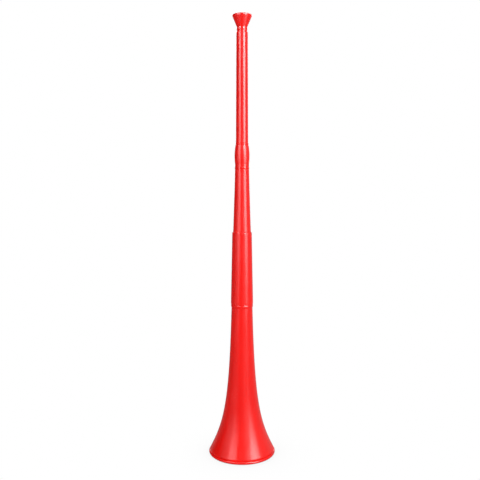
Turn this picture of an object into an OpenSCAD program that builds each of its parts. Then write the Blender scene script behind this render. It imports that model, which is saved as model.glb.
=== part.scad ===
// Collapsible stadium horn of the vuvuzela kind, four plastic mouldings, drawn out to full length.
// Millimetres, +Z up. The origin is the middle of the bell's mouth, and the lip stands on z = 0.
// Every piece is a body of revolution, so each has one outline of [radius, height] points.

/* [Walls and fits] */
// Wall thickness of the sections
wall = 1.25; // [1:0.05:1.5]
// Radial gap of the push fits and of the drawn-out taper
fit_gap = 0.05; // [0.03:0.01:0.1]
// Gap between end faces that seat on each other
seat_gap = 0.1; // [0.05:0.05:0.3]

/* [Bell section] */
// Outer diameter of the lip at the bell's mouth
bell_d = 100; // [97:0.2:101]
// Diameter that the flare's own curve would reach at the floor, inside the lip
flare_mouth_d = 102.4; // [101:0.2:104]
// Height of the bell section up to the middle section
bell_h = 228; // [215:1:245]
// Outer diameter at the narrow end, under the bead
bell_neck_d = 31.4; // [31:0.1:32.2]
// Height over which the flare opens: a low value flares late and sharply
flare_depth = 52; // [46:0.5:60]
// Height of the rounded lip
lip_h = 4.2; // [3.6:0.2:5]
// Width of the groove between the lip and the flare
lip_groove = 0.8; // [0.5:0.1:1]
// Radius of the flare's rounded edge above the groove
flare_edge_round = 4; // [2:0.5:6]
// Height of the half-round bead that the middle section seats on
bead_h = 4.8; // [4:0.2:6]
// Length of the spigot inside the middle section
spigot_h = 14; // [10:1:20]

/* [Middle section] */
// Length of the middle section
middle_h = 108; // [100:1:115]
// Outer diameter at its lower end
middle_end_d = 33.1; // [32.8:0.1:33.6]
// Outer diameter at its collar
collar_d = 28.9; // [28.5:0.1:29.3]
// Width of the collar's rounded top edge
collar_edge_w = 0.85; // [0.4:0.05:0.9]
// Height of the collar's rounded top edge
collar_edge_h = 1.5; // [0.8:0.1:2]

/* [Upper tube] */
// Length from the collar to the tube's top
upper_h = 289; // [280:1:300]
// Outer diameter at the tube's top
tube_top_d = 16.7; // [16.4:0.1:17.4]
// Outer diameter at the tube's foot, above the fine ring
tube_foot_d = 18; // [17.6:0.1:18.4]
// Height of the fine ring's middle above the collar
fine_ring_z = 129.2; // [126:0.2:134]
// Length of the knop between the fine ring and the ring bead
knop_h = 27.8; // [24:0.2:32]
// How far the knop swells beyond a plain cone
knop_swell = 1.05; // [0.6:0.05:1.6]
// Outer diameter of the ring bead under the knop
ring_bead_d = 21.6; // [21.3:0.1:22.2]
// Outer diameter at the top of the lower cone
cone_top_d = 20.9; // [20.4:0.1:21.1]
// Radius of the edge round the tube's top
tube_edge_round = 1; // [0.4:0.1:1.1]
// Length of the tail inside the middle section
tail_h = 12; // [8:1:16]

/* [Mouthpiece] */
// Height of the mouthpiece above the tube
mouthpiece_h = 24.2; // [23:0.2:28]
// Outer diameter of its rim
rim_d = 28.1; // [27.6:0.1:28.6]
// Radius of the rim's tall outer face
rim_face_round = 5; // [3:0.5:9]
// Radius of the edge between that face and the rim's flat top
rim_round = 1.2; // [0.8:0.1:1.6]
// Width of the rim's flat top
rim_land = 0.9; // [0.4:0.1:1.4]
// Radius of the rim's inner rounding, into the cup
cup_round = 1.6; // [1:0.1:1.8]
// Outer diameter of its neck
neck_d = 15.1; // [14.8:0.1:15.6]
// Outer diameter of the small bead on the neck
neck_bead_d = 15.7; // [15.5:0.1:16]
// Diameter of the throat under the cup
throat_d = 10; // [8.6:0.2:10.6]
// Length of the shank in the tube's socket
shank_h = 18; // [12:1:22]

/* [Hidden] */
$fn = 144;
horn_red = [0.93, 0.05, 0.04];

// Heights of the joints, from the bell's mouth up
collar_z = bell_h + middle_h;
tube_top_z = collar_z + upper_h;
crest_z = tube_top_z + mouthpiece_h;

// Small edges that the sections share
edge_round = 0.6;
small_chamfer = 0.4;

// Shape of the flare: its radius falls with the arctangent of the height
flare_mouth_r = flare_mouth_d / 2;
flare_top_z = bell_h - bead_h;
flare_slope = (flare_mouth_r - bell_neck_d / 2) / (flare_depth * turn(flare_top_z / flare_depth));
flare_steps = 40;
// Stations lie closer together towards the mouth, where the flare bends most
flare_crowding = 1.5;

// The bead stays a little inside the sleeve's edge, and the spigot's wall is a little thinner
bead_inset = 0.25;
spigot_wall = 1.1;

// Places along the upper tube, from the collar up
fine_ring_h = 4;
groove_w = 1.1;
groove_depth = 0.15;
tube_foot_z = collar_z + fine_ring_z + fine_ring_h / 2;
tube_foot_r = tube_foot_d / 2;
fine_ring_r = tube_foot_r + 0.5;
// The tube widens a little where it meets the fine ring
foot_flare = 0.15;
foot_flare_h = 4;
knop_top_z = collar_z + fine_ring_z - fine_ring_h / 2;
knop_top_r = tube_foot_r + 0.7;
knop_foot_z = knop_top_z - knop_h;
knop_foot_r = cone_top_d / 2 - 0.15;
ring_bead_h = 3.2;
ring_bead_top_z = knop_foot_z - 2.6;
ring_bead_foot_z = ring_bead_top_z - ring_bead_h;
bead_groove_w = 0.8;
bead_groove_depth = 0.3;
cone_top_z = ring_bead_foot_z - bead_groove_w;
cone_top_r = cone_top_d / 2;
// A power a little over one gives the lower cone its slight flare
cone_power = 1.2;
cone_steps = 16;

// The socket is deeper than the shank, and its wall gives the mouthpiece a ledge to seat on
socket_z = tube_top_z - shank_h - 1;
socket_wall = 1.5;
socket_r = tube_top_d / 2 - socket_wall;

// Places on the mouthpiece, where the rim's outer face leans in a little before its top edge
rim_tilt = 5;
rim_z = crest_z - rim_round - (rim_face_round - rim_round) * sin(rim_tilt);
neck_r = neck_d / 2;
neck_foot_r = neck_r - 0.1;
neck_bead_foot_z = tube_top_z + 2;
neck_bead_h = 3.6;
cone_foot_z = tube_top_z + 6.8;
throat_z = cone_foot_z + 1.5;
// Share of a straight funnel in the cup, and the rest is a round bowl
bowl_lean = 0.35;
shank_r = socket_r - fit_gap;

// The arctangent in radians
function turn(t) = atan(t) * PI / 180;

// Points along an oval about a centre, from one angle to another
function oval(centre, width, height, from, to, steps = 10) = [
    for (i = [0:steps])
        let (a = from + (to - from) * i / steps)
        centre + [width * cos(a), height * sin(a)]
];

// Points along an arc about a centre
function arc(centre, r, from, to, steps = 10) = oval(centre, r, r, from, to, steps);

// Points of a shallow swelling between two points, highest in its middle
function swelling(low, high, rise, steps = 12) = [
    for (i = [0:steps])
        let (t = i / steps)
        low + (high - low) * t + [4 * rise * t * (1 - t), 0]
];

// Outer radius of the bell at a height, and its wall measured level
function flare_r(z) = flare_mouth_r - flare_slope * flare_depth * turn(z / flare_depth);
function flare_fall(z) = flare_slope / (1 + pow(z / flare_depth, 2));
function flare_wall(z) = wall * sqrt(1 + pow(flare_fall(z), 2));

// Heights of the flare's stations, from a low point up
function flare_z(i, low) = low + (flare_top_z - low) * pow(i / flare_steps, flare_crowding);

// Outer and inner radius of the middle section at a height
function middle_r(z) = (middle_end_d + (collar_d - middle_end_d) * (z - bell_h) / middle_h) / 2;
function middle_bore_r(z) = middle_r(z) - wall;

// Radius of whatever fits in the middle section at a height
function fitted_r(z) = middle_bore_r(z) - fit_gap;

// Outer radius of the upper tube's lower cone at a height
function cone_r(z) =
    let (t = (cone_top_z - z) / (cone_top_z - collar_z))
    cone_top_r + (fitted_r(collar_z) - cone_top_r) * pow(t, cone_power);

// Heights of the cone's stations, from the collar up
function cone_z(i) = collar_z + (cone_top_z - collar_z) * i / cone_steps;

// Solid of revolution between an outer outline, drawn upwards, and an inner one, drawn downwards
module turned(outer, inner) {
    color(horn_red)
        rotate_extrude()
        polygon(concat(outer, inner));
}

// Flared bell with its thickened lip, the seating bead and the spigot
module bell_section() {
    lip_r = lip_h / 2;
    groove_z = lip_h + lip_groove;
    lean = atan(flare_fall(groove_z));
    edge_z = groove_z + flare_edge_round * sin(lean);
    edge_r = flare_r(edge_z) - flare_edge_round * cos(lean);
    lip_bore_r = flare_r(edge_z) - flare_wall(edge_z);
    neck_r = flare_r(flare_top_z);
    bead_rise = middle_r(bell_h) - bead_inset - neck_r;
    bead_z = bell_h - bead_h / 2;
    bead_top_z = bell_h - seat_gap;
    // The bead is half round, cut flat where the middle section seats
    seat_angle = asin((bead_top_z - bead_z) / (bead_h / 2));
    spigot_z = bell_h + spigot_h;
    spigot_r = fitted_r(spigot_z);
    outer = concat(
        [[lip_bore_r + small_chamfer, 0]],
        arc([bell_d / 2 - lip_r, lip_r], lip_r, -90, 65, 20),
        [[edge_r + flare_edge_round - lip_groove, lip_h]],
        arc([edge_r, groove_z], flare_edge_round, 0, lean, 5),
        [for (i = [1:flare_steps - 1]) let (z = flare_z(i, edge_z)) [flare_r(z), z]],
        oval([neck_r, bead_z], bead_rise, bead_h / 2, -90, seat_angle, 14),
        [
            [fitted_r(bell_h), bead_top_z],
            [fitted_r(spigot_z - small_chamfer), spigot_z - small_chamfer],
            [spigot_r - small_chamfer, spigot_z]
        ]
    );
    inner = concat(
        [
            [spigot_r - spigot_wall, spigot_z],
            [fitted_r(bell_h) - spigot_wall, bell_h]
        ],
        [for (i = [flare_steps:-1:0]) let (z = flare_z(i, edge_z)) [flare_r(z) - flare_wall(z), z]],
        [[lip_bore_r, small_chamfer]]
    );
    turned(outer, inner);
}

// Tapered sleeve with the collar at its top
module middle_section() {
    end_r = middle_r(bell_h);
    seat_chamfer = small_chamfer / 2;
    edge_z = collar_z - collar_edge_h;
    outer = concat(
        [[middle_bore_r(bell_h) + seat_chamfer, bell_h]],
        arc([end_r - edge_round, bell_h + edge_round], edge_round, -90, 0, 6),
        oval([middle_r(edge_z) - collar_edge_w, edge_z], collar_edge_w, collar_edge_h, 0, 90, 8)
    );
    inner = [
        [middle_bore_r(collar_z) + small_chamfer / 2, collar_z],
        [middle_bore_r(collar_z - small_chamfer), collar_z - small_chamfer],
        [middle_bore_r(bell_h + seat_chamfer), bell_h + seat_chamfer]
    ];
    turned(outer, inner);
}

// Slim tube, fine ring, knop, ring bead, lower cone and the tail that wedges under the collar
module upper_tube() {
    tail_z = collar_z - tail_h;
    tail_r = fitted_r(tail_z);
    ring_bead_rise = ring_bead_d / 2 - (cone_top_r + knop_foot_r) / 2;
    outer = concat(
        [
            [tail_r - small_chamfer, tail_z],
            [fitted_r(tail_z + small_chamfer), tail_z + small_chamfer]
        ],
        [for (i = [0:cone_steps]) [cone_r(cone_z(i)), cone_z(i)]],
        [[cone_top_r - bead_groove_depth, cone_top_z + bead_groove_w / 2]],
        swelling([cone_top_r, ring_bead_foot_z], [knop_foot_r, ring_bead_top_z], ring_bead_rise, 8),
        swelling([knop_foot_r, knop_foot_z], [knop_top_r, knop_top_z], knop_swell, 20),
        [
            [tube_foot_r + groove_depth, knop_top_z + groove_w / 2],
            [fine_ring_r, knop_top_z + groove_w],
            [fine_ring_r, tube_foot_z - groove_w],
            [tube_foot_r - groove_depth, tube_foot_z - groove_w / 2],
            [tube_foot_r + foot_flare, tube_foot_z],
            [tube_foot_r, tube_foot_z + foot_flare_h]
        ],
        arc([tube_top_d / 2 - tube_edge_round, tube_top_z - tube_edge_round], tube_edge_round, 0, 90, 8)
    );
    inner = concat(
        [
            [socket_r + small_chamfer / 2, tube_top_z],
            [socket_r, tube_top_z - small_chamfer],
            [socket_r, socket_z],
            [tube_foot_r - wall, tube_foot_z]
        ],
        [for (i = [cone_steps:-1:0]) [cone_r(cone_z(i)) - wall, cone_z(i)]],
        [[tail_r - wall, tail_z]]
    );
    turned(outer, inner);
}

// Cup with its rounded rim, outer cone, beaded neck, throat and shank
module mouthpiece() {
    shank_z = tube_top_z - shank_h;
    neck_z = tube_top_z + seat_gap;
    neck_bead_top_z = neck_bead_foot_z + neck_bead_h;
    // The outer face turns about a centre on the rim's widest level, and the cone runs smoothly into it
    face = [rim_d / 2 - rim_face_round, rim_z];
    edge = face + (rim_face_round - rim_round) * [cos(rim_tilt), sin(rim_tilt)];
    reach = face - [neck_r, cone_foot_z];
    lean = 90 - atan2(reach[1], reach[0]) + asin(rim_face_round / norm(reach));
    cup = [edge[0] - rim_land, crest_z - cup_round];
    cup_r = cup[0] - cup_round;
    throat_r = throat_d / 2;
    outer = concat(
        [
            [shank_r - small_chamfer, shank_z],
            [shank_r, shank_z + 2 * small_chamfer],
            [shank_r, neck_z],
            [neck_foot_r, neck_z]
        ],
        swelling([neck_foot_r, neck_bead_foot_z], [neck_r, neck_bead_top_z], neck_bead_d / 2 - neck_r, 8),
        [[neck_r, cone_foot_z]],
        arc(face, rim_face_round, -lean, 0, 8),
        arc(edge, rim_round, rim_tilt, 90, 6),
        arc(cup, cup_round, 90, 180, 9)
    );
    inner = concat(
        [for (i = [1:12]) let (t = i / 12) [
            throat_r + (cup_r - throat_r) * cos(90 * t),
            cup[1] - (cup[1] - throat_z) * (bowl_lean * t + (1 - bowl_lean) * (1 - cos(90 * t)))
        ]],
        [
            [throat_r, cone_foot_z],
            [shank_r - wall, shank_z]
        ]
    );
    turned(outer, inner);
}

bell_section();
middle_section();
upper_tube();
mouthpiece();
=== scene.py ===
"""Collapsible stadium horn: four red plastic mouldings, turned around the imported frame, on a pale studio floor."""

import math

import bpy
from bpy.props import FloatProperty, FloatVectorProperty, IntProperty, PointerProperty
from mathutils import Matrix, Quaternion, Vector


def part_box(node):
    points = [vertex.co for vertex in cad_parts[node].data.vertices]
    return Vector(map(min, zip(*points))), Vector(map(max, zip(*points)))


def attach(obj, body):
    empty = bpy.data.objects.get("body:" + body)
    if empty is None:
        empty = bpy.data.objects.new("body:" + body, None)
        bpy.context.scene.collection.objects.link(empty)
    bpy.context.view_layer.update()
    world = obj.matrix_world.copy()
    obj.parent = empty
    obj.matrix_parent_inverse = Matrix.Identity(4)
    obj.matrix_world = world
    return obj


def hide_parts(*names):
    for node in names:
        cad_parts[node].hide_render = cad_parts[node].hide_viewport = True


bl_info = {
    "name": "Collapsible Stadium Horn",
    "version": (1, 0, 0),
    "blender": (4, 5, 0),
    "location": "View3D > Sidebar > Stadium Horn",
    "description": "Turns the bell, the sleeve, the telescoping tube and the mouthpiece, and sets the studio",
    "category": "Add Mesh",
}

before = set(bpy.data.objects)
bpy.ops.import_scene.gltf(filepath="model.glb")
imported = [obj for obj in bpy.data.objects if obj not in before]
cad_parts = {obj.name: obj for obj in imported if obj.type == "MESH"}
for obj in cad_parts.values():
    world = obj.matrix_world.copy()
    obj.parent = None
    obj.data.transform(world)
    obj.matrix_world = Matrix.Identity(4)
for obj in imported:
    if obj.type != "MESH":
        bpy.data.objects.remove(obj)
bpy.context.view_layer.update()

MM = 0.001

# What the frame gives: the heights of the joints and the widths of the ends
_, BELL_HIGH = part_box("bell_section")
SLEEVE_LOW, SLEEVE_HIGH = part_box("middle_section")
TUBE_LOW, TUBE_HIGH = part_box("upper_tube")
CUP_LOW, CUP_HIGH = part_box("mouthpiece")
SEAT_Z = SLEEVE_LOW.z
SPIGOT_Z = BELL_HIGH.z
TAIL_Z = TUBE_LOW.z
COLLAR_Z = SLEEVE_HIGH.z
SHANK_Z = CUP_LOW.z
TUBE_TOP_Z = TUBE_HIGH.z
CREST_Z = CUP_HIGH.z


def length(name, description, millimetres):
    """A size that a user may change, shown in the scene's units."""
    return FloatProperty(
        name=name, description=description, default=millimetres * MM, min=0.0, unit="LENGTH", precision=4
    )


def share(name, description, default):
    """A plain share from 0 to 1."""
    return FloatProperty(name=name, description=description, default=default, min=0.0, max=1.0, subtype="FACTOR")


def level(name, description, default):
    """A level of light, where 1 is the white of the picture."""
    return FloatProperty(name=name, description=description, default=default, min=0.0)


class MouldSizes(bpy.types.PropertyGroup):
    """What the four mouldings have in common."""

    wall: length("Wall", "Wall thickness of the sections", 1.25)
    fit_gap: length("Fit gap", "Radial gap of the push fits and of the drawn-out taper", 0.05)
    seat_gap: length("Seat gap", "Gap between end faces that seat on each other", 0.1)
    chamfer: length("Chamfer", "Size of the small chamfers", 0.4)
    easing: length("Easing", "How far the moulded corners are eased", 0.12)
    seam_width: length("Seam width", "Width of the mould's parting line", 0.5)
    seam_height: length("Seam height", "Height of the mould's parting line", 0.035)
    segments: IntProperty(name="Segments", description="Columns of faces round each half", default=72, min=16)


class BellSizes(bpy.types.PropertyGroup):
    """Sizes of the flared bell."""

    lip_height: length("Lip height", "Height of the rounded lip that the horn stands on", 4.2)
    lip_groove: length("Lip groove", "Width of the groove between the lip and the flare", 0.8)
    flare_edge: length("Flare edge", "Radius of the flare's rounded edge above the groove", 4.0)
    flare_mouth: length("Flare mouth", "Diameter that the flare's own curve would reach at the floor", 102.4)
    flare_depth: length("Flare depth", "Height over which the flare opens", 52.0)
    neck: length("Neck", "Outer diameter at the narrow end, under the bead", 31.4)
    bead_height: length("Bead height", "Height of the half-round bead that the sleeve seats on", 4.8)
    bead_inset: length("Bead inset", "How far the bead stays inside the sleeve's edge", 0.25)
    seat_ring: length("Seat ring", "Width of the flat ring on the bead that the sleeve seats on", 0.25)
    spigot_wall: length("Spigot wall", "Wall thickness of the spigot inside the sleeve", 1.1)


class SleeveSizes(bpy.types.PropertyGroup):
    """Sizes of the tapered sleeve between the bell and the collar."""

    foot_round: length("Foot round", "Width of the sleeve's rounded foot", 0.45)
    foot_height: length("Foot height", "Height of the sleeve's rounded foot", 1.6)
    collar: length("Collar", "Outer diameter at the collar", 28.9)
    collar_edge_width: length("Collar edge width", "Width of the collar's rounded top edge", 0.85)
    collar_edge_height: length("Collar edge height", "Height of the collar's rounded top edge", 1.5)


class TubeSizes(bpy.types.PropertyGroup):
    """Sizes of the slim telescoping tube."""

    top: length("Top", "Outer diameter at the tube's top", 16.7)
    foot: length("Foot", "Outer diameter above the fine ring", 18.0)
    ring_rise: length("Ring rise", "How far the fine ring stands above the tube", 0.5)
    ring_height: length("Ring height", "Height of the fine ring with its grooves", 4.0)
    ring_place: length("Ring place", "Height of the fine ring above the collar", 129.2)
    groove_width: length("Groove width", "Width of the grooves beside the fine ring", 1.1)
    groove_depth: length("Groove depth", "Depth of the fine grooves", 0.15)
    foot_flare: length("Foot flare", "How far the tube widens where it meets the fine ring", 0.15)
    foot_flare_height: length("Foot flare height", "Height over which the tube widens there", 4.0)
    knop_height: length("Knop height", "Length of the knop under the fine ring", 27.8)
    knop_swell: length("Knop swell", "How far the knop swells beyond a plain cone", 1.05)
    bead: length("Bead", "Outer diameter of the ring bead under the knop", 21.6)
    bead_height: length("Bead height", "Height of the ring bead", 2.65)
    bead_drop: length("Bead drop", "Distance from the knop's foot down to the ring bead", 4.05)
    bead_groove: length("Bead groove", "Width of the fine groove under the ring bead", 0.6)
    bead_groove_depth: length("Bead groove depth", "Depth of the fine groove under the ring bead", 0.3)
    cone_top: length("Cone top", "Outer diameter at the top of the lower cone", 20.9)
    top_edge: length("Top edge", "Radius of the edge round the tube's top", 1.0)
    socket_wall: length("Socket wall", "Wall thickness of the socket that holds the mouthpiece", 1.5)
    socket_spare: length("Socket spare", "How much deeper the socket is than the shank", 1.0)


class CupSizes(bpy.types.PropertyGroup):
    """Sizes of the cup mouthpiece."""

    rim_face: length("Rim face", "Radius of the rim's tall outer face", 5.0)
    rim_round: length("Rim round", "Radius of the edge between that face and the rim's flat top", 1.2)
    rim_land: length("Rim land", "Width of the rim's flat top", 0.9)
    cup_round: length("Cup round", "Radius of the rim's inner rounding, into the cup", 1.6)
    neck: length("Neck", "Outer diameter of the neck", 15.1)
    neck_bead: length("Neck bead", "Outer diameter of the small bead on the neck", 15.7)
    neck_bead_height: length("Neck bead height", "Height of the small bead on the neck", 3.6)
    neck_bead_lift: length("Neck bead lift", "Distance from the tube up to the small bead", 2.0)
    cone_lift: length("Cone lift", "Distance from the tube up to the outer cone", 6.8)
    throat: length("Throat", "Diameter of the throat under the cup", 10.0)
    throat_length: length("Throat length", "Length of the throat's straight stretch", 1.5)


class PlasticFinish(bpy.types.PropertyGroup):
    """Colour and surface of the moulded plastic."""

    red: FloatVectorProperty(
        name="Red", description="Colour of the plastic", subtype="COLOR", size=3, min=0.0, max=1.0,
        default=(0.93, 0.005, 0.0018)
    )
    deep_red: FloatVectorProperty(
        name="Deep red", description="Colour of the darker flow marks", subtype="COLOR", size=3, min=0.0, max=1.0,
        default=(0.87, 0.004, 0.0015)
    )
    rubbed_red: FloatVectorProperty(
        name="Rubbed red", description="Colour of the rubbed edges and of the scuffs", subtype="COLOR", size=3,
        min=0.0, max=1.0, default=(0.93, 0.03, 0.022)
    )
    gloss: share("Gloss roughness", "Roughness of the smoothest places", 0.2)
    satin: share("Satin roughness", "Roughness of the dullest places", 0.26)
    scuffed: share("Scuffed roughness", "Roughness of the fine scuffs", 0.5)
    peel: share("Peel", "Strength of the fine orange peel", 0.04)
    ripple: share("Ripple", "Strength of the slow waves that sinking leaves in a moulding", 0.08)


class StudioSettings(bpy.types.PropertyGroup):
    """Camera, lamps and floor."""

    focal_length: FloatProperty(
        name="Focal length", description="Lens of the camera", default=48.0, min=10.0, subtype="DISTANCE_CAMERA"
    )
    camera_distance: length("Camera distance", "Distance from the camera to the horn's axis", 945.5)
    camera_height: length("Camera height", "Height of the camera above the floor", 410.0)
    camera_side: length("Camera side", "How far the camera stands left of the horn's axis", 3.0)
    camera_pitch: FloatProperty(
        name="Camera pitch", description="How far the camera looks down",
        default=math.radians(5.2), subtype="ANGLE"
    )
    right_level: level("Right softbox", "Radiance of the right softbox as the gloss mirrors it", 11.5)
    left_level: level("Left softbox", "Radiance of the left softbox as the gloss mirrors it", 5.7)
    key_level: level("Key light", "Share of full light that the right gives a face turned to it", 0.58)
    fill_level: level("Fill light", "Share of full light that the left gives a face turned to it", 0.345)
    back_level: level("Back softbox", "Radiance of the softbox behind the horn as the gloss mirrors it", 2.5)
    back_light: level("Back light", "Share of full light that the back gives a face turned to it", 0.5)
    top_level: level("Top light", "Radiance of the softbox overhead", 1.2)
    # The horn's shadow on the floor is painted: the floor's white darkens with the occlusion near the horn
    shadow_share: share("Shadow", "How dark the horn's soft shadow on the floor gets", 0.3)


# Outlines: lists of (radius, height) points, outside upwards and inside downwards


def oval(centre, width, height, start, end, steps):
    """Points along an oval about a centre, from one angle to another, in degrees."""
    turns = [math.radians(start + (end - start) * i / steps) for i in range(steps + 1)]
    return [(centre[0] + width * math.cos(a), centre[1] + height * math.sin(a)) for a in turns]


def arc(centre, radius, start, end, steps):
    """Points along an arc about a centre, from one angle to another, in degrees."""
    return oval(centre, radius, radius, start, end, steps)


def swelling(low, high, rise, steps):
    """Points of a shallow swelling between two points, highest in its middle."""
    points = []
    for i in range(steps + 1):
        t = i / steps
        radius = low[0] + (high[0] - low[0]) * t + 4 * rise * t * (1 - t)
        points.append((radius, low[1] + (high[1] - low[1]) * t))
    return points


def sleeve_radius(z):
    """Outer radius of the tapered sleeve at a height."""
    collar = bpy.context.scene.horn_sleeve.collar / 2
    end = SLEEVE_HIGH.x
    return end + (collar - end) * (z - SEAT_Z) / (COLLAR_Z - SEAT_Z)


def sleeve_bore(z):
    """Inner radius of the tapered sleeve at a height."""
    return sleeve_radius(z) - bpy.context.scene.horn_mould.wall


def fitted_radius(z):
    """Radius of whatever fits in the sleeve at a height."""
    return sleeve_bore(z) - bpy.context.scene.horn_mould.fit_gap


class Flare:
    """The bell's curve, whose radius falls with the arctangent of the height."""

    STEPS = 90
    # Stations lie closer together towards the mouth, where the flare bends most
    CROWDING = 1.5

    def __init__(self, bell, mould):
        self.mouth = bell.flare_mouth / 2
        self.depth = bell.flare_depth
        self.top = SEAT_Z - bell.bead_height
        self.slope = (self.mouth - bell.neck / 2) / (self.depth * math.atan(self.top / self.depth))
        self.wall = mould.wall

    def radius(self, z):
        return self.mouth - self.slope * self.depth * math.atan(z / self.depth)

    def fall(self, z):
        return self.slope / (1 + (z / self.depth) ** 2)

    def bore(self, z):
        return self.radius(z) - self.wall * math.sqrt(1 + self.fall(z) ** 2)

    def stations(self, low):
        return [low + (self.top - low) * (i / self.STEPS) ** self.CROWDING for i in range(self.STEPS + 1)]


def bell_outline():
    """The lip, the groove above it, the flare, the seating bead and the spigot, then down the bore."""
    bell = bpy.context.scene.horn_bell
    mould = bpy.context.scene.horn_mould
    flare = Flare(bell, mould)
    lip = bell.lip_height / 2
    groove_z = bell.lip_height + bell.lip_groove
    lean = math.atan(flare.fall(groove_z))
    edge_z = groove_z + bell.flare_edge * math.sin(lean)
    edge_r = flare.radius(edge_z) - bell.flare_edge * math.cos(lean)
    lip_bore = flare.bore(edge_z)
    neck_r = flare.radius(flare.top)
    bead_rise = sleeve_radius(SEAT_Z) - bell.bead_inset - neck_r
    bead_z = SEAT_Z - bell.bead_height / 2
    bead_top_z = SEAT_Z - mould.seat_gap
    # The bead is half round below, and its shoulder slopes up to the flat ring that the sleeve seats on
    shoulder_foot_z = bead_z + 1.25 * MM
    shoulder_top_z = bead_z + 2.2 * MM
    ring_taper = 0.1 * MM
    spigot_r = fitted_radius(SPIGOT_Z)
    outside = [(lip_bore + mould.chamfer, 0.0)]
    outside += arc((BELL_HIGH.x - lip, lip), lip, -90, 65, 24)
    outside += [(edge_r + bell.flare_edge - bell.lip_groove, bell.lip_height)]
    outside += arc((edge_r, groove_z), bell.flare_edge, 0, math.degrees(lean), 8)
    outside += [(flare.radius(z), z) for z in flare.stations(edge_z)[1:-1]]
    outside += oval((neck_r, bead_z), bead_rise, bell.bead_height / 2, -90, 0, 14)
    outside += [
        (neck_r + bead_rise, shoulder_foot_z),
        (neck_r + bell.seat_ring, shoulder_top_z),
        (neck_r + bell.seat_ring - ring_taper, bead_top_z),
        (fitted_radius(SEAT_Z), bead_top_z),
        (fitted_radius(SPIGOT_Z - mould.chamfer), SPIGOT_Z - mould.chamfer),
        (spigot_r - mould.chamfer, SPIGOT_Z),
    ]
    inside = [
        (spigot_r - bell.spigot_wall, SPIGOT_Z),
        (fitted_radius(SEAT_Z) - bell.spigot_wall, SEAT_Z),
    ]
    inside += [(flare.bore(z), z) for z in reversed(flare.stations(edge_z))]
    inside += [(lip_bore, mould.chamfer)]
    return outside + inside


def sleeve_outline():
    """A tapered sleeve with rounded ends, whose top is the collar."""
    mould = bpy.context.scene.horn_mould
    sleeve = bpy.context.scene.horn_sleeve
    width, height = sleeve.collar_edge_width, sleeve.collar_edge_height
    seat_chamfer = mould.chamfer / 2
    edge_z = COLLAR_Z - height
    outside = [(sleeve_bore(SEAT_Z) + seat_chamfer, SEAT_Z)]
    foot = (sleeve_radius(SEAT_Z) - sleeve.foot_round, SEAT_Z + sleeve.foot_height)
    outside += oval(foot, sleeve.foot_round, sleeve.foot_height, -90, 0, 12)
    outside += oval((sleeve_radius(edge_z) - width, edge_z), width, height, 0, 90, 14)
    inside = [
        (sleeve_bore(COLLAR_Z) + mould.chamfer / 2, COLLAR_Z),
        (sleeve_bore(COLLAR_Z - mould.chamfer), COLLAR_Z - mould.chamfer),
        (sleeve_bore(SEAT_Z + seat_chamfer), SEAT_Z + seat_chamfer),
    ]
    return outside + inside


def tube_outline():
    """The tail, the lower cone, the ring bead, the knop, the fine ring and the slim tube with its socket."""
    tube = bpy.context.scene.horn_tube
    mould = bpy.context.scene.horn_mould
    # A power a little over one gives the lower cone its slight flare
    cone_power = 1.2
    cone_steps = 40
    knop_top_lift = 0.7 * MM
    knop_foot_drop = 0.15 * MM
    foot = tube.foot / 2
    top = tube.top / 2
    cone_top = tube.cone_top / 2
    ring_z = COLLAR_Z + tube.ring_place
    foot_z = ring_z + tube.ring_height / 2
    knop_top_z = ring_z - tube.ring_height / 2
    knop_foot_z = knop_top_z - tube.knop_height
    knop_foot = cone_top - knop_foot_drop
    bead_top_z = knop_foot_z - tube.bead_drop
    bead_foot_z = bead_top_z - tube.bead_height
    bead_rise = tube.bead / 2 - (cone_top + knop_foot) / 2
    cone_top_z = bead_foot_z - tube.bead_groove
    tail = fitted_radius(TAIL_Z)
    socket = top - tube.socket_wall
    socket_z = SHANK_Z - tube.socket_spare
    ring = foot + tube.ring_rise

    def cone_radius(z):
        t = (cone_top_z - z) / (cone_top_z - COLLAR_Z)
        return cone_top + (fitted_radius(COLLAR_Z) - cone_top) * t**cone_power

    cone = [COLLAR_Z + (cone_top_z - COLLAR_Z) * i / cone_steps for i in range(cone_steps + 1)]
    outside = [
        (tail - mould.chamfer, TAIL_Z),
        (fitted_radius(TAIL_Z + mould.chamfer), TAIL_Z + mould.chamfer),
    ]
    outside += [(cone_radius(z), z) for z in cone]
    outside += [(cone_top - tube.bead_groove_depth, cone_top_z + tube.bead_groove / 2)]
    outside += swelling((cone_top, bead_foot_z), (knop_foot, bead_top_z), bead_rise, 14)
    outside += swelling((knop_foot, knop_foot_z), (foot + knop_top_lift, knop_top_z), tube.knop_swell, 36)
    outside += [
        (foot + tube.groove_depth, knop_top_z + tube.groove_width / 2),
        (ring, knop_top_z + tube.groove_width),
        (ring, foot_z - tube.groove_width),
        (foot - tube.groove_depth, foot_z - tube.groove_width / 2),
        (foot + tube.foot_flare, foot_z),
        (foot, foot_z + tube.foot_flare_height),
    ]
    outside += arc((top - tube.top_edge, TUBE_TOP_Z - tube.top_edge), tube.top_edge, 0, 90, 12)
    inside = [
        (socket + mould.chamfer / 2, TUBE_TOP_Z),
        (socket, TUBE_TOP_Z - mould.chamfer),
        (socket, socket_z),
        (foot - mould.wall, foot_z),
    ]
    inside += [(cone_radius(z) - mould.wall, z) for z in reversed(cone)]
    inside += [(tail - mould.wall, TAIL_Z)]
    return outside + inside


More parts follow.
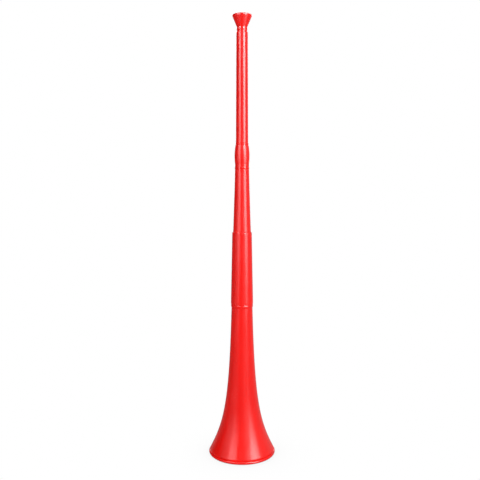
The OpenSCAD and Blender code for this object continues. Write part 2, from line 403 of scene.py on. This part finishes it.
def cup_outline():
    """The shank, the beaded neck, the outer cone and the rounded rim, then down the cup and the throat."""
    cup = bpy.context.scene.horn_cup
    tube = bpy.context.scene.horn_tube
    mould = bpy.context.scene.horn_mould
    # Share of a straight funnel in the cup, and the rest is a round bowl
    bowl_lean = 0.35
    bowl_steps = 24
    neck_foot_drop = 0.1 * MM
    # The rim's outer face leans in a little before its top edge
    rim_tilt = math.radians(5)
    shank = tube.top / 2 - tube.socket_wall - mould.fit_gap
    neck = cup.neck / 2
    neck_foot = neck - neck_foot_drop
    neck_z = TUBE_TOP_Z + mould.seat_gap
    bead_z = TUBE_TOP_Z + cup.neck_bead_lift
    cone_z = TUBE_TOP_Z + cup.cone_lift
    throat = cup.throat / 2
    throat_z = cone_z + cup.throat_length
    # The face turns about a centre on the rim's widest level, and the cone runs smoothly into it
    spread = cup.rim_face - cup.rim_round
    rim_z = CREST_Z - cup.rim_round - spread * math.sin(rim_tilt)
    face = (CUP_HIGH.x - cup.rim_face, rim_z)
    edge = (face[0] + spread * math.cos(rim_tilt), rim_z + spread * math.sin(rim_tilt))
    reach = Vector((face[0] - neck, rim_z - cone_z))
    lean = math.pi / 2 - math.atan2(reach.y, reach.x) + math.asin(cup.rim_face / reach.length)
    bowl_edge = (edge[0] - cup.rim_land, CREST_Z - cup.cup_round)
    bowl = bowl_edge[0] - cup.cup_round
    bowl_z = bowl_edge[1]
    outside = [
        (shank - mould.chamfer, SHANK_Z),
        (shank, SHANK_Z + 2 * mould.chamfer),
        (shank, neck_z),
        (neck_foot, neck_z),
    ]
    outside += swelling(
        (neck_foot, bead_z), (neck, bead_z + cup.neck_bead_height), cup.neck_bead / 2 - neck, 14
    )
    outside += [(neck, cone_z)]
    outside += arc(face, cup.rim_face, -math.degrees(lean), 0, 16)
    outside += arc(edge, cup.rim_round, math.degrees(rim_tilt), 90, 12)
    outside += arc(bowl_edge, cup.cup_round, 90, 180, 14)
    inside = []
    for i in range(1, bowl_steps + 1):
        t = i / bowl_steps
        down = bowl_lean * t + (1 - bowl_lean) * (1 - math.cos(math.pi / 2 * t))
        inside.append((throat + (bowl - throat) * math.cos(math.pi / 2 * t), bowl_z - (bowl_z - throat_z) * down))
    inside += [(throat, cone_z), (shank - mould.wall, SHANK_Z)]
    return outside + inside


# Meshes


def turn_at(before, here, after):
    """How far the outline turns at a point, in radians, positive at an outer corner."""
    first = Vector(here) - Vector(before)
    second = Vector(after) - Vector(here)
    return math.atan2(first.x * second.y - first.y * second.x, first.dot(second))


def eased(outline, easing):
    """The closed outline with each sharp corner replaced by a small round one."""
    sharp = math.radians(18)
    # A round corner takes up less than half of the stretches beside it
    longest_share = 0.45
    steps = 5
    points = []
    for i, here in enumerate(outline):
        before, after = outline[i - 1], outline[(i + 1) % len(outline)]
        turn = abs(turn_at(before, here, after))
        corner = Vector(here)
        back = Vector(before) - corner
        ahead = Vector(after) - corner
        reach = min(easing * math.tan(turn / 2), longest_share * back.length, longest_share * ahead.length)
        if turn < sharp or reach <= 0:
            points.append(here)
            continue
        start = corner + back.normalized() * reach
        end = corner + ahead.normalized() * reach
        for step in range(steps + 1):
            t = step / steps
            point = start * (1 - t) ** 2 + corner * (2 * t * (1 - t)) + end * t**2
            points.append((point.x, point.y))
    return points


def filled(outline, longest):
    """The closed outline with its long stretches divided evenly."""
    points = []
    for i, here in enumerate(outline):
        after = outline[(i + 1) % len(outline)]
        reach = math.dist(here, after)
        count = max(1, math.ceil(reach / longest))
        for step in range(count):
            t = step / count
            points.append((here[0] + (after[0] - here[0]) * t, here[1] + (after[1] - here[1]) * t))
    return points


def without_doubles(outline):
    """The closed outline without points that coincide."""
    nearest = 0.5e-6
    return [p for i, p in enumerate(outline) if math.dist(p, outline[i - 1]) > nearest]


def ring(radius, z, mould, lift):
    """One ring of points. Its columns keep clear of the parting line, which has the same width everywhere."""
    half_seam = mould.seam_width / 2 / radius
    points = []
    for side in (0.0, math.pi):
        points.append(((radius + lift) * math.cos(side), (radius + lift) * math.sin(side), z))
        sweep = math.pi - 2 * half_seam
        for column in range(mould.segments + 1):
            angle = side + half_seam + sweep * column / mould.segments
            points.append((radius * math.cos(angle), radius * math.sin(angle), z))
    return points


def turned(name, outline):
    """A closed solid of revolution, smooth shaded, with a map of its surface and its worn edges marked."""
    mould = bpy.context.scene.horn_mould
    longest_face = 4 * MM
    worn_turn = 0.35
    outline = filled(eased(without_doubles(outline), mould.easing), longest_face)
    count = len(outline)
    columns = 2 * (mould.segments + 2)
    # The mould parts along the outside only: a core shapes the bore
    top = max(range(count), key=lambda i: outline[i][1])
    widest = max(radius for radius, z in outline)
    vertices, wear, travel = [], [], [0.0]
    for i, (radius, z) in enumerate(outline):
        before, after = outline[i - 1], outline[(i + 1) % count]
        lift = min(mould.seam_height, widest - radius) if i < top else 0.0
        vertices += ring(radius, z, mould, lift)
        bend = turn_at(before, (radius, z), after)
        wear += [min(max(bend / worn_turn, 0.0), 1.0)] * columns
        travel.append(travel[-1] + math.dist((radius, z), after))
    faces = []
    for i in range(count):
        low, high = i * columns, (i + 1) % count * columns
        for j in range(columns):
            k = (j + 1) % columns
            faces.append((low + j, low + k, high + k, high + j))
    mesh = bpy.data.meshes.new(name)
    mesh.from_pydata(vertices, [], faces)
    mesh.shade_smooth()
    layer = mesh.attributes.new("edge", "FLOAT", "POINT")
    layer.data.foreach_set("value", wear)
    unwrap(mesh, count, columns, travel)
    mesh.validate()
    obj = bpy.data.objects.new(name, mesh)
    bpy.context.scene.collection.objects.link(obj)
    normals = obj.modifiers.new("Weighted normals", "WEIGHTED_NORMAL")
    normals.mode = "FACE_AREA"
    normals.weight = 60
    return obj


def unwrap(mesh, count, columns, travel):
    """Lays the surface out flat: round the horn along U and along the outline along V."""
    layer = mesh.uv_layers.new(name="surface")
    for face in mesh.polygons:
        i, j = divmod(face.index, columns)
        corners = ((j, i), (j + 1, i), (j + 1, i + 1), (j, i + 1))
        for loop, (column, row) in zip(face.loop_indices, corners):
            layer.data[loop].uv = (column / columns, travel[row] / travel[count])


# Materials


def shader_node(tree, kind, place, **values):
    """A node of a kind, at a place in the editor, with its inputs set by name."""
    node = tree.nodes.new(kind)
    node.location = place
    for name, value in values.items():
        node.inputs[name.replace("_", " ")].default_value = value
    return node


def stretched_noise(tree, place, source, squeeze, scale, detail, roughness):
    """Noise over the object's own coordinates, drawn out along the horn where it is squeezed below 1."""
    mapping = shader_node(tree, "ShaderNodeMapping", place, Scale=(1.0, 1.0, squeeze))
    noise = shader_node(
        tree, "ShaderNodeTexNoise", (place[0] + 180, place[1]), Scale=scale, Detail=detail, Roughness=roughness
    )
    tree.links.new(source, mapping.inputs["Vector"])
    tree.links.new(mapping.outputs["Vector"], noise.inputs["Vector"])
    return noise.outputs["Fac"]


def ranged(tree, place, source, low, high, to_low=0.0, to_high=1.0):
    """A value brought from one range to another, eased at both ends."""
    node = shader_node(
        tree, "ShaderNodeMapRange", place, From_Min=low, From_Max=high, To_Min=to_low, To_Max=to_high
    )
    node.interpolation_type = "SMOOTHSTEP"
    tree.links.new(source, node.inputs["Value"])
    return node.outputs["Result"]


def blended(tree, place, factor, first, second):
    """Two colours mixed by a factor. Each is a colour or another node's output."""
    node = shader_node(tree, "ShaderNodeMix", place)
    node.data_type = "RGBA"
    tree.links.new(factor, node.inputs["Factor"])
    for name, colour in (("A", first), ("B", second)):
        socket = next(s for s in node.inputs if s.name == name and s.type == "RGBA")
        if isinstance(colour, bpy.types.NodeSocket):
            tree.links.new(colour, socket)
        else:
            socket.default_value = (*colour, 1.0)
    return next(s for s in node.outputs if s.type == "RGBA")


def raised_by(tree, place, height, strength, depth, under=None):
    """A bump, which may lie on another one."""
    node = shader_node(tree, "ShaderNodeBump", place, Strength=strength, Distance=depth)
    tree.links.new(height, node.inputs["Height"])
    if under is not None:
        tree.links.new(under, node.inputs["Normal"])
    return node.outputs["Normal"]


def math_node(tree, place, operation, first, second):
    """Two values put together by a plain operation."""
    node = shader_node(tree, "ShaderNodeMath", place)
    node.operation = operation
    for socket, value in zip(node.inputs, (first, second)):
        if isinstance(value, bpy.types.NodeSocket):
            tree.links.new(value, socket)
        else:
            socket.default_value = value
    return node.outputs["Value"]


# The plastic's noises: place in the editor, squeeze along the horn, scale, detail and roughness
NOISES = {
    "flow": (260, 0.22, 38.0, 3.0, 0.5),
    "patches": (20, 0.5, 70.0, 4.0, 0.6),
    "scuffs": (-220, 0.035, 1900.0, 2.0, 0.7),
    "sparse": (-460, 1.0, 55.0, 2.0, 0.5),
    "peel": (-700, 1.0, 1500.0, 2.0, 0.5),
    "ripple": (-940, 0.35, 60.0, 1.0, 0.5),
}
# How far each piece's noises are moved from the last one's, so that no two look alike
SEED_SHIFT = (0.37, 0.53, 0.71)


def moulded_plastic(name, seed):
    """Red moulded plastic: flow marks, satin patches, fine scuffs, orange peel and slightly rubbed edges."""
    finish = bpy.context.scene.horn_plastic
    most_rubbed = 0.45
    scuff_tint = 0.35
    ripple_depth = 0.3 * MM
    peel_depth = 0.05 * MM
    refraction = 1.5
    material = bpy.data.materials.new(name)
    material.use_nodes = True
    tree = material.node_tree
    shader = tree.nodes["Principled BSDF"]
    coordinates = shader_node(tree, "ShaderNodeTexCoord", (-1500, 0))
    shift = tuple(step * seed for step in SEED_SHIFT)
    moved = shader_node(tree, "ShaderNodeMapping", (-1320, 0), Location=shift)
    tree.links.new(coordinates.outputs["Object"], moved.inputs["Vector"])
    place = moved.outputs["Vector"]
    edge = shader_node(tree, "ShaderNodeAttribute", (-1120, 500))
    edge.attribute_name = "edge"
    noise = {
        kind: stretched_noise(tree, (-1120, row), place, *numbers) for kind, (row, *numbers) in NOISES.items()
    }

    rubbed = ranged(tree, (-600, 500), edge.outputs["Fac"], 0.15, 1.0, 0.0, most_rubbed)
    # Scuffs show only in the places that the sparse noise leaves open
    scuffs = ranged(tree, (-600, -220), noise["scuffs"], 0.64, 0.74)
    scuffed_places = ranged(tree, (-600, -460), noise["sparse"], 0.5, 0.68)
    marks = math_node(tree, (-420, -300), "MULTIPLY", scuffs, scuffed_places)
    flow = ranged(tree, (-600, 260), noise["flow"], 0.38, 0.66)
    colour = blended(tree, (-420, 300), flow, finish.red, finish.deep_red)
    tint = math_node(tree, (-420, 120), "MULTIPLY", marks, scuff_tint)
    colour = blended(tree, (-240, 300), tint, colour, finish.rubbed_red)
    colour = blended(tree, (-60, 300), rubbed, colour, finish.rubbed_red)
    dullness = ranged(tree, (-600, 20), noise["patches"], 0.35, 0.7, finish.gloss, finish.satin)
    scuff_dullness = math_node(tree, (-240, -100), "MULTIPLY", marks, finish.scuffed - finish.satin)
    dullness = math_node(tree, (-60, 0), "ADD", dullness, scuff_dullness)
    normal = raised_by(tree, (-420, -900), noise["ripple"], finish.ripple, ripple_depth)
    normal = raised_by(tree, (-240, -700), noise["peel"], finish.peel, peel_depth, normal)

    tree.links.new(colour, shader.inputs["Base Color"])
    tree.links.new(dullness, shader.inputs["Roughness"])
    tree.links.new(normal, shader.inputs["Normal"])
    shader.inputs["IOR"].default_value = refraction
    return material


def dressed(obj, material, node, body):
    """Gives a piece its material, hides the CAD node that it takes the place of, and lets it ride on that node's
    body.
    """
    obj.data.materials.append(material)
    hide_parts(node)
    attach(obj, body)


# Stage

LAMP_COLOUR = (0.98, 0.98, 1.0)


def facing_axis(azimuth, distance, height):
    """Where something stands that looks level at the horn's axis, and its turn. Azimuth 0 is the camera's side."""
    place = Vector((math.sin(azimuth) * distance, -math.cos(azimuth) * distance, height))
    turn = (Vector((0, 0, height)) - place).to_track_quat("-Z", "Y")
    return place, turn


def area_lamp(name, width, height, radiance):
    """A rectangular lamp whose face has a given radiance."""
    lamp = bpy.data.lights.new(name, "AREA")
    lamp.shape = "RECTANGLE"
    lamp.size = width
    lamp.size_y = height
    lamp.color = LAMP_COLOUR
    # Four times the area is what the renderer divides the power of such a lamp by
    lamp.energy = radiance * 4 * lamp.size * lamp.size_y
    obj = bpy.data.objects.new(name, lamp)
    bpy.context.scene.collection.objects.link(obj)
    return obj


def softbox(name, azimuth, distance, low, high, width, radiance, lean=0.0):
    """A lamp that faces the horn's axis, reaches from one height to another, and may lean left."""
    obj = area_lamp(name, width, high - low, radiance)
    place, turn = facing_axis(math.radians(azimuth), distance, (low + high) / 2)
    obj.location = place
    obj.rotation_euler = (turn @ Quaternion((0, 0, 1), math.radians(lean))).to_euler()
    return obj


def graded(lamp):
    """Lets a lamp's face fade out towards its foot and grow brighter towards its head."""
    # Shares of the face's height: it is at full strength above 1 / foot_fade, and gains as much again at its head
    foot_fade = 1.8
    head_low, head_high = 0.53, 0.66
    lamp.use_nodes = True
    tree = lamp.node_tree
    face = shader_node(tree, "ShaderNodeNewGeometry", (-900, 0))
    height = shader_node(tree, "ShaderNodeSeparateXYZ", (-700, 0))
    tree.links.new(face.outputs["Parametric"], height.inputs["Vector"])
    rise = math_node(tree, (-500, 0), "MULTIPLY", height.outputs["Y"], foot_fade)
    rise = math_node(tree, (-400, 0), "MINIMUM", rise, 1.0)
    head = ranged(tree, (-500, -200), height.outputs["Y"], head_low, head_high)
    strength = math_node(tree, (-200, 0), "ADD", rise, head)
    tree.links.new(strength, tree.nodes["Emission"].inputs["Strength"])


def softbox_pair(name, azimuth, lean, mirrored, lit, lit_azimuth, lit_height):
    """What one softbox gives the gloss, and the wider soft light that it gives the colour."""
    strip_distance, strip_width = 0.9, 0.48
    strip_low, strip_high = 0.04, 1.45
    # The height that the soft light is worked out for, as a share of the lamp's height
    level_share = 0.27
    strip = softbox(name + "_softbox", azimuth, strip_distance, strip_low, strip_high, strip_width, mirrored, lean)
    strip.visible_camera = False
    strip.visible_diffuse = False
    graded(strip.data)
    distance, half_width = 1.5, 0.6
    half_angle = math.atan(half_width / distance)
    from_z = level_share * lit_height
    low_angle, high_angle = math.atan(-from_z / distance), math.atan((lit_height - from_z) / distance)
    # Light that a face turned to the lamp catches for each unit of its radiance
    upright = (high_angle - low_angle) / 2 + (math.sin(2 * high_angle) - math.sin(2 * low_angle)) / 4
    catch = 2 * math.sin(half_angle) * upright / math.pi
    soft = softbox(name + "_soft_light", lit_azimuth, distance, 0.0, lit_height, 2 * half_width, lit / catch)
    soft.visible_camera = False
    soft.visible_glossy = False


def top_softbox(radiance):
    """A wide softbox overhead, facing down, which the rims and shoulders mirror."""
    side, height = 0.9, 1.6
    lamp = area_lamp("top_softbox", side, side, radiance)
    lamp.location = (0.0, 0.0, height)


def seen_directly(tree, place, rays):
    """One for what the camera sees, also through something clear, and else zero."""
    return math_node(tree, place, "MAXIMUM", rays.outputs["Is Camera Ray"], rays.outputs["Is Transmission Ray"])


def studio_world():
    """The surroundings: white behind the horn, a dim studio in front of it, dimmer still on the left."""
    left_level, right_level = 0.05, 0.5
    world = bpy.data.worlds.new("studio")
    world.use_nodes = True
    bpy.context.scene.world = world
    tree = world.node_tree
    background = tree.nodes["Background"]
    coordinates = shader_node(tree, "ShaderNodeTexCoord", (-1200, 0))
    axes = shader_node(tree, "ShaderNodeSeparateXYZ", (-1000, 0))
    tree.links.new(coordinates.outputs["Generated"], axes.inputs["Vector"])
    rays = shader_node(tree, "ShaderNodeLightPath", (-800, 400))
    studio = ranged(tree, (-800, 100), axes.outputs["X"], -0.75, 0.5, left_level, right_level)
    # The gloss mirrors the white only where it looks almost straight back
    behind = ranged(tree, (-800, -100), axes.outputs["Y"], 0.85, 0.98)
    mirrored = math_node(tree, (-600, 300), "MULTIPLY", rays.outputs["Is Glossy Ray"], behind)
    seen = seen_directly(tree, (-400, 300), rays)
    white = math_node(tree, (-200, 300), "MAXIMUM", seen, mirrored)
    not_white = math_node(tree, (-400, 50), "SUBTRACT", 1.0, white)
    dim = math_node(tree, (-200, 100), "MULTIPLY", not_white, studio)
    strength = math_node(tree, (0, 200), "ADD", white, dim)
    background.inputs["Color"].default_value = (1.0, 1.0, 1.0, 1.0)
    tree.links.new(strength, background.inputs["Strength"])


def floor_paint(shadow_share):
    """A pale floor. The camera sees it white, with the horn's soft shadow painted in from the occlusion near the
    horn, and the gloss sees a dimmer painted glow.
    """
    grey = 0.4
    # Levels of the painted glow that the gloss sees in the floor, dimmer on the left and brighter on the right
    left_glow, right_glow = 0.14, 0.42
    shadow_reach = 0.09
    material = bpy.data.materials.new("floor_paint")
    material.use_nodes = True
    tree = material.node_tree
    tree.nodes.remove(tree.nodes["Principled BSDF"])
    paint = shader_node(tree, "ShaderNodeBsdfDiffuse", (-200, 300), Color=(grey, grey, grey, 1.0))
    glow = shader_node(tree, "ShaderNodeEmission", (-200, -100), Color=(1.0, 1.0, 1.0, 1.0))
    rays = shader_node(tree, "ShaderNodeLightPath", (-1000, 400))
    near = shader_node(tree, "ShaderNodeAmbientOcclusion", (-1000, -50), Distance=shadow_reach)
    near.samples = 16
    coordinates = shader_node(tree, "ShaderNodeTexCoord", (-1200, -300))
    across = shader_node(tree, "ShaderNodeSeparateXYZ", (-1000, -300))
    tree.links.new(coordinates.outputs["Object"], across.inputs["Vector"])
    open_share = near.outputs["AO"]
    # Painted shadow: the white that the camera sees is darkened by the occlusion near the horn, by up to the shadow
    # share
    white = ranged(tree, (-800, -50), open_share, 0.0, 1.0, 1.0 - shadow_share, 1.0)
    # Painted reflection: for the gloss the floor glows dimmer on the left and brighter on the right, with painted
    # shade near the horn
    painted_table_glow = ranged(tree, (-800, -300), across.outputs["X"], -0.45, 0.35, left_glow, right_glow)
    unshadowed = ranged(tree, (-800, -550), open_share, 0.3, 1.0)
    painted_table_glow = math_node(tree, (-600, -300), "MULTIPLY", painted_table_glow, unshadowed)
    seen = seen_directly(tree, (-800, 300), rays)
    strength = math_node(tree, (-400, -100), "MULTIPLY", seen, white)
    mirrored = math_node(tree, (-400, -300), "MULTIPLY", rays.outputs["Is Glossy Ray"], painted_table_glow)
    strength = math_node(tree, (-200, -300), "ADD", strength, mirrored)
    tree.links.new(strength, glow.inputs["Strength"])
    mix = shader_node(tree, "ShaderNodeMixShader", (0, 100))
    # For the camera and the gloss the floor is a glow with its light and shade painted in; other rays see the grey
    # paint
    glowing = math_node(tree, (-400, 200), "MAXIMUM", seen, rays.outputs["Is Glossy Ray"])
    tree.links.new(glowing, mix.inputs["Fac"])
    tree.links.new(paint.outputs["BSDF"], mix.inputs[1])
    tree.links.new(glow.outputs["Emission"], mix.inputs[2])
    tree.links.new(mix.outputs["Shader"], tree.nodes["Material Output"].inputs["Surface"])
    return material


def studio_floor(shadow_share):
    """A wide level floor at the height that the lip stands on."""
    half = 30.0
    corners = [(-half, -half, 0), (half, -half, 0), (half, half, 0), (-half, half, 0)]
    mesh = bpy.data.meshes.new("studio_floor")
    mesh.from_pydata(corners, [], [(0, 1, 2, 3)])
    floor = bpy.data.objects.new("studio_floor", mesh)
    floor.data.materials.append(floor_paint(shadow_share))
    bpy.context.scene.collection.objects.link(floor)


def studio_camera(studio):
    """The camera, a little above the horn's middle and looking slightly down, as in the photograph."""
    lens = bpy.data.cameras.new("camera")
    lens.sensor_width = 36.0
    lens.lens = studio.focal_length
    camera = bpy.data.objects.new("camera", lens)
    camera.location = (-studio.camera_side, -studio.camera_distance, studio.camera_height)
    camera.rotation_euler = (math.pi / 2 - studio.camera_pitch, 0.0, 0.0)
    bpy.context.scene.collection.objects.link(camera)
    bpy.context.scene.camera = camera


# Operators


class HORN_OT_bell_section(bpy.types.Operator):
    """Turn the flared bell with its lip, its seating bead and its spigot"""

    bl_idname = "horn.bell_section"
    bl_label = "Bell Section"

    def execute(self, context):
        bell = turned("bell_shell", bell_outline())
        dressed(bell, moulded_plastic("bell_red", 1), "bell_section", "bell")
        return {"FINISHED"}


class HORN_OT_middle_section(bpy.types.Operator):
    """Turn the tapered sleeve that holds the tube by its collar"""

    bl_idname = "horn.middle_section"
    bl_label = "Middle Section"

    def execute(self, context):
        sleeve = turned("middle_sleeve", sleeve_outline())
        dressed(sleeve, moulded_plastic("middle_red", 2), "middle_section", "middle")
        return {"FINISHED"}


class HORN_OT_upper_tube(bpy.types.Operator):
    """Turn the slim tube with its cone, bead, knop and fine ring"""

    bl_idname = "horn.upper_tube"
    bl_label = "Upper Tube"

    def execute(self, context):
        tube = turned("slim_tube", tube_outline())
        dressed(tube, moulded_plastic("tube_red", 3), "upper_tube", "tube")
        return {"FINISHED"}


class HORN_OT_mouthpiece(bpy.types.Operator):
    """Turn the cup mouthpiece with its rim, neck and shank"""

    bl_idname = "horn.mouthpiece"
    bl_label = "Mouthpiece"

    def execute(self, context):
        cup = turned("cup_mouthpiece", cup_outline())
        dressed(cup, moulded_plastic("mouthpiece_red", 4), "mouthpiece", "mouthpiece")
        return {"FINISHED"}


class HORN_OT_stage(bpy.types.Operator):
    """Set up the pale floor, the white surroundings, the softboxes and the camera"""

    bl_idname = "horn.stage"
    bl_label = "Stage"

    def execute(self, context):
        studio = context.scene.horn_studio
        studio_floor(studio.shadow_share)
        studio_world()
        softbox_pair(
            "right", azimuth=45.5, lean=15.0, mirrored=studio.right_level,
            lit=studio.key_level, lit_azimuth=39.0, lit_height=1.3
        )
        softbox_pair(
            "left", azimuth=-42.0, lean=19.0, mirrored=studio.left_level,
            lit=studio.fill_level, lit_azimuth=-60.0, lit_height=0.8
        )
        softbox_pair(
            "back", azimuth=180.0, lean=0.0, mirrored=studio.back_level,
            lit=studio.back_light, lit_azimuth=180.0, lit_height=0.8
        )
        top_softbox(studio.top_level)
        studio_camera(studio)
        context.scene.view_settings.view_transform = "Standard"
        return {"FINISHED"}


class HORN_PT_panel(bpy.types.Panel):
    """The horn's pieces, with the sizes and colours that shape them"""

    bl_idname = "HORN_PT_panel"
    bl_label = "Stadium Horn"
    bl_space_type = "VIEW_3D"
    bl_region_type = "UI"
    bl_category = "Stadium Horn"

    def draw(self, context):
        for title, operators, group_name in PANEL_ROWS:
            box = self.layout.box()
            box.label(text=title)
            for operator in operators:
                box.operator(operator)
            group = getattr(context.scene, group_name)
            for name in group.__annotations__:
                box.prop(group, name)


GROUPS = {
    "horn_mould": MouldSizes,
    "horn_bell": BellSizes,
    "horn_sleeve": SleeveSizes,
    "horn_tube": TubeSizes,
    "horn_cup": CupSizes,
    "horn_plastic": PlasticFinish,
    "horn_studio": StudioSettings,
}

PANEL_ROWS = (
    ("Mouldings", (), "horn_mould"),
    ("Bell", ("horn.bell_section",), "horn_bell"),
    ("Sleeve", ("horn.middle_section",), "horn_sleeve"),
    ("Tube", ("horn.upper_tube",), "horn_tube"),
    ("Mouthpiece", ("horn.mouthpiece",), "horn_cup"),
    ("Plastic", (), "horn_plastic"),
    ("Studio", ("horn.stage",), "horn_studio"),
)

OPERATORS = (
    HORN_OT_bell_section,
    HORN_OT_middle_section,
    HORN_OT_upper_tube,
    HORN_OT_mouthpiece,
    HORN_OT_stage,
)


def register():
    for group in GROUPS.values():
        bpy.utils.register_class(group)
    for name, group in GROUPS.items():
        setattr(bpy.types.Scene, name, PointerProperty(type=group))
    for operator in OPERATORS:
        bpy.utils.register_class(operator)
    bpy.utils.register_class(HORN_PT_panel)


def unregister():
    bpy.utils.unregister_class(HORN_PT_panel)
    for operator in reversed(OPERATORS):
        bpy.utils.unregister_class(operator)
    for name in GROUPS:
        delattr(bpy.types.Scene, name)
    for group in reversed(GROUPS.values()):
        bpy.utils.unregister_class(group)


def main():
    register()
    bpy.ops.horn.bell_section()
    bpy.ops.horn.middle_section()
    bpy.ops.horn.upper_tube()
    bpy.ops.horn.mouthpiece()
    bpy.ops.horn.stage()


if __name__ == "__main__":
    main()
